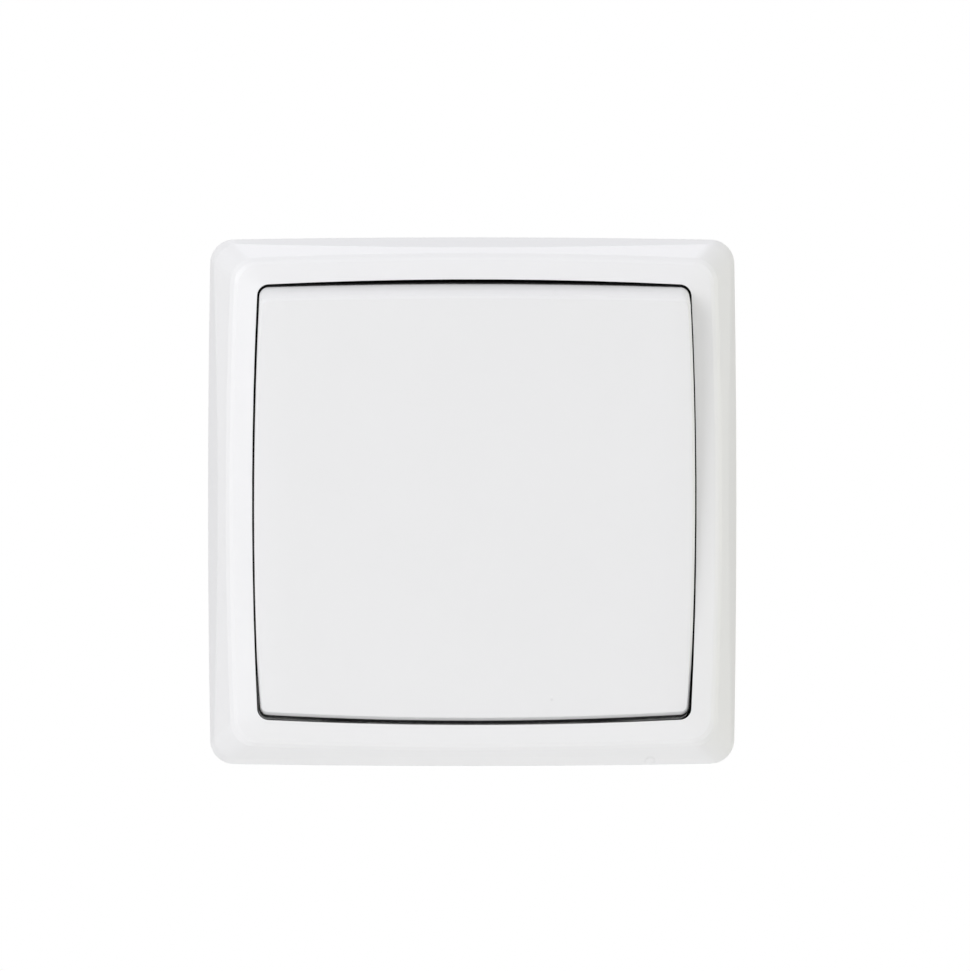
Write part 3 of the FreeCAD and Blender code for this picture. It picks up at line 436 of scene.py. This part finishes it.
def floor():
    """Plain pale floor under the object."""
    half = FLOOR_HALF
    corners = [(x, y, FLOOR_Z) for x, y in (
        (-half, -half), (half, -half), (half, half), (-half, half))]
    mesh = bpy.data.meshes.new("floor")
    mesh.from_pydata(corners, [], [(0, 1, 2, 3)])
    ground = bpy.data.objects.new("floor", mesh)
    scene.collection.objects.link(ground)
    material, _, _ = shaded(
        "floor", {"Roughness": FLOOR_ROUGHNESS, "Base Color": opaque(FLOOR_COLOUR)})
    mesh.materials.append(material)


class Shell:
    """Vertices and faces of a mesh that is built from rings of points."""

    def __init__(self):
        self.vertices = []
        self.faces = []

    def stack(self, rows, closed_start=False):
        """Joins each ring of points to the next and closes the last one."""
        rings = []
        for points in rows:
            first = len(self.vertices)
            self.vertices.extend(points)
            rings.append(tuple(range(first, len(self.vertices))))
        for low, high in zip(rings, rings[1:]):
            for k in range(len(low)):
                after = (k + 1) % len(low)
                self.faces.append((low[k], low[after], high[after], high[k]))
        if closed_start:
            self.faces.append(rings[0][::-1])
        self.faces.append(rings[-1])

    def mesh(self, name):
        """Smooth mesh whose faces all look outwards."""
        mesh = bpy.data.meshes.new(name)
        mesh.from_pydata(self.vertices, [], self.faces)
        mesh.validate()
        turned = bmesh.new()
        turned.from_mesh(mesh)
        bmesh.ops.recalc_face_normals(turned, faces=turned.faces)
        turned.to_mesh(mesh)
        turned.free()
        mesh.shade_smooth()
        mesh.set_sharp_from_angle(angle=math.radians(SHARP_DEG))
        return mesh


def place(name, mesh, material, body=None):
    """New piece with its material, riding on a body if one is named."""
    mesh.materials.append(material)
    piece = bpy.data.objects.new(name, mesh)
    scene.collection.objects.link(piece)
    if body:
        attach(piece, body)
    return piece


def tube(name, points, radius):
    """Round wire along a path of points, closed at both ends."""
    aside = Vector((0.0, 1.0, 0.0))
    rows = []
    for n, point in enumerate(points):
        before = points[max(n - 1, 0)]
        after = points[min(n + 1, len(points) - 1)]
        along = (after - before).normalized()
        up = along.cross(aside).normalized()
        across = up.cross(along)
        ring = []
        for k in range(WIRE_SIDES):
            turn = 2.0 * math.pi * k / WIRE_SIDES
            ring.append(point + (across * math.cos(turn) + up * math.sin(turn)) * radius)
        rows.append(ring)
    shell = Shell()
    shell.stack(rows, closed_start=True)
    return shell.mesh(name)


def spring(name, sizes):
    """Compression spring along Y whose end turns lie close together."""
    start, end, mean_r, thickness, turns = sizes
    rise = end - start - thickness - 2.0 * SPRING_GAP
    low = thickness * CLOSED_PITCH
    base = start + SPRING_GAP + thickness / 2.0
    path = []
    for n in range(int(turns * SPRING_STEPS) + 1):
        t = n / SPRING_STEPS
        if t <= CLOSED_TURNS:
            y = low * t / CLOSED_TURNS
        elif t >= turns - CLOSED_TURNS:
            y = rise - low * (turns - t) / CLOSED_TURNS
        else:
            share = (t - CLOSED_TURNS) / (turns - 2.0 * CLOSED_TURNS)
            y = low + (rise - 2.0 * low) * share
        turn = 2.0 * math.pi * t
        path.append(Vector((
            mean_r * math.sin(turn), base + y, SPRING_Z + mean_r * math.cos(turn))))
    return tube(name, path, thickness / 2.0)


def thread_depth(share):
    """Height of the thread above its root, from 0 to 1, along one pitch."""
    if share < ROOT_END:
        return 0.0
    if share < CREST_START:
        return (share - ROOT_END) / (CREST_START - ROOT_END)
    if share < CREST_END:
        return 1.0
    return (1.0 - share) / (1.0 - CREST_END)


def circle(radius, y):
    """Points round the Y axis."""
    angles = [2.0 * math.pi * k / HEAD_SIDES for k in range(HEAD_SIDES)]
    return [(radius * math.sin(angle), y, radius * math.cos(angle)) for angle in angles]


def half_circle(radius, y, side):
    """Points round the Y axis on one side of the driver's slot."""
    low = math.asin(DRIVER_SLOT / 2.0 / radius)
    step = (math.pi - 2.0 * low) / HALF_HEAD_SIDES
    angles = [low + step * k for k in range(HALF_HEAD_SIDES + 1)]
    return [(radius * math.cos(angle), y, side * radius * math.sin(angle)) for angle in angles]


def threaded(shank_r, length, pitch):
    """Rings of points of a threaded shank along +Y, chamfered at its end."""
    root = shank_r - pitch * THREAD_HEIGHT
    rows = int(length / pitch * THREAD_ROWS)
    for n in range(rows + 1):
        y = length * n / rows
        left = length - y
        fading = min(left / pitch, 1.0)
        largest = shank_r - max(0.0, 1.0 - left / CHAMFER_LENGTH) * CHAMFER_DROP
        points = []
        for k in range(SHANK_SIDES):
            turn = k / SHANK_SIDES
            height = thread_depth((y / pitch - turn) % 1.0) * fading
            r = min(root + (shank_r - root) * height, largest)
            angle = 2.0 * math.pi * turn
            points.append((r * math.sin(angle), y, r * math.cos(angle)))
        yield points


def screw(name, sizes):
    """Slotted screw along +Y with a real thread; the head's underside is at y = 0."""
    head_r, head_t, shank_r, length, pitch = sizes
    bed = DRIVER_DEPTH - head_t
    shell = Shell()
    shell.stack(threaded(shank_r, length, pitch))
    shell.stack([
        circle(shank_r * UNDER_HEAD_SHARE, 0.0), circle(head_r - HEAD_EDGE, 0.0),
        circle(head_r, -HEAD_EDGE), circle(head_r, bed)])
    for side in (1.0, -1.0):
        shell.stack([
            half_circle(head_r, bed, side), half_circle(head_r, HEAD_EDGE - head_t, side),
            half_circle(head_r - HEAD_TOP_EDGE, -head_t, side)])
    return shell.mesh(name)


def fasteners():
    """Threaded screws in place of the plain ones, each on its own body."""
    for side, sign in (("right", 1.0), ("left", -1.0)):
        for kind, sizes, at, upright in (
                ("claw_screw", CLAW_SCREW, CLAW_SCREW_AT, False),
                ("terminal_screw", TERMINAL_SCREW, TERMINAL_SCREW_AT, True)):
            name = kind + "_" + side
            mesh = screw(name + "_threaded", sizes)
            piece = place(name + "_threaded", mesh, zinc)
            if upright:
                piece.rotation_euler = (math.radians(90.0), 0.0, 0.0)
            piece.location = (sign * at[0], at[1], at[2])
            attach(piece, name)
            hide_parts(name)


def springs():
    """Round-wire springs in place of the plain coils."""
    coil = spring("contact_spring_wire", CONTACT_SPRING)
    contact = place("contact_spring_wire", coil, wire, "plunger")
    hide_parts("contact_spring")
    back = place("return_spring_wire", spring("return_spring_wire", RETURN_SPRING), wire)
    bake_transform(back)
    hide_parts("return_spring")


white_surface = {"roughness": 0.34, "grain": 0.10, "edge_r": 0.00012, "gap_reach": PLASTIC_GAP}
white = moulded_plastic("white_plastic", WHITE, marks=FRAME_MARKS, **white_surface)
plate = moulded_plastic("white_plate", PLATE_WHITE, marks=PLATE_MARKS, **white_surface)
housing = moulded_plastic(
    "housing_moulding", GREY, roughness=0.5, grain=0.25, edge_r=0.0002, tint=0.02)
zinc = metal(
    "zinc_steel", ZINC, roughness=0.38, spread=0.08, grain_scale=2200.0, edge_r=0.00012)
carrier = metal(
    "zinc_carrier", ZINC, roughness=0.50, spread=0.08, grain_scale=2200.0, edge_r=0.00012,
    gap_reach=CARRIER_GAP)
brass = metal(
    "contact_brass", BRASS, roughness=0.28, spread=0.06, grain_scale=3000.0, edge_r=0.0001,
    streaks=(1.0, 1.0, 0.12))
silver = metal(
    "silver_tips", SILVER, roughness=0.34, spread=0.06, grain_scale=3000.0, edge_r=0.0002)
wire = metal(
    "spring_steel", STEEL, roughness=0.22, spread=0.05, grain_scale=4000.0, edge_r=0.00003)

dress(white, "cover_frame")
dress(plate, "push_plate")
dress(housing, "rocker_cradle", "base_housing", "mechanism_cover", "plunger")
dress(carrier, "support_plate")
dress(zinc, *both("terminal_cage"), *both("terminal_screw"),
      *both("claw"), *both("claw_screw"), *both("claw_nut"))
dress(brass, "contact_bridge", *both("terminal_bar"))
dress(silver, "bridge_contacts", "fixed_contacts")
dress(wire, "return_spring", "contact_spring")

springs()
fasteners()
camera()
world()
floor()
lamps()
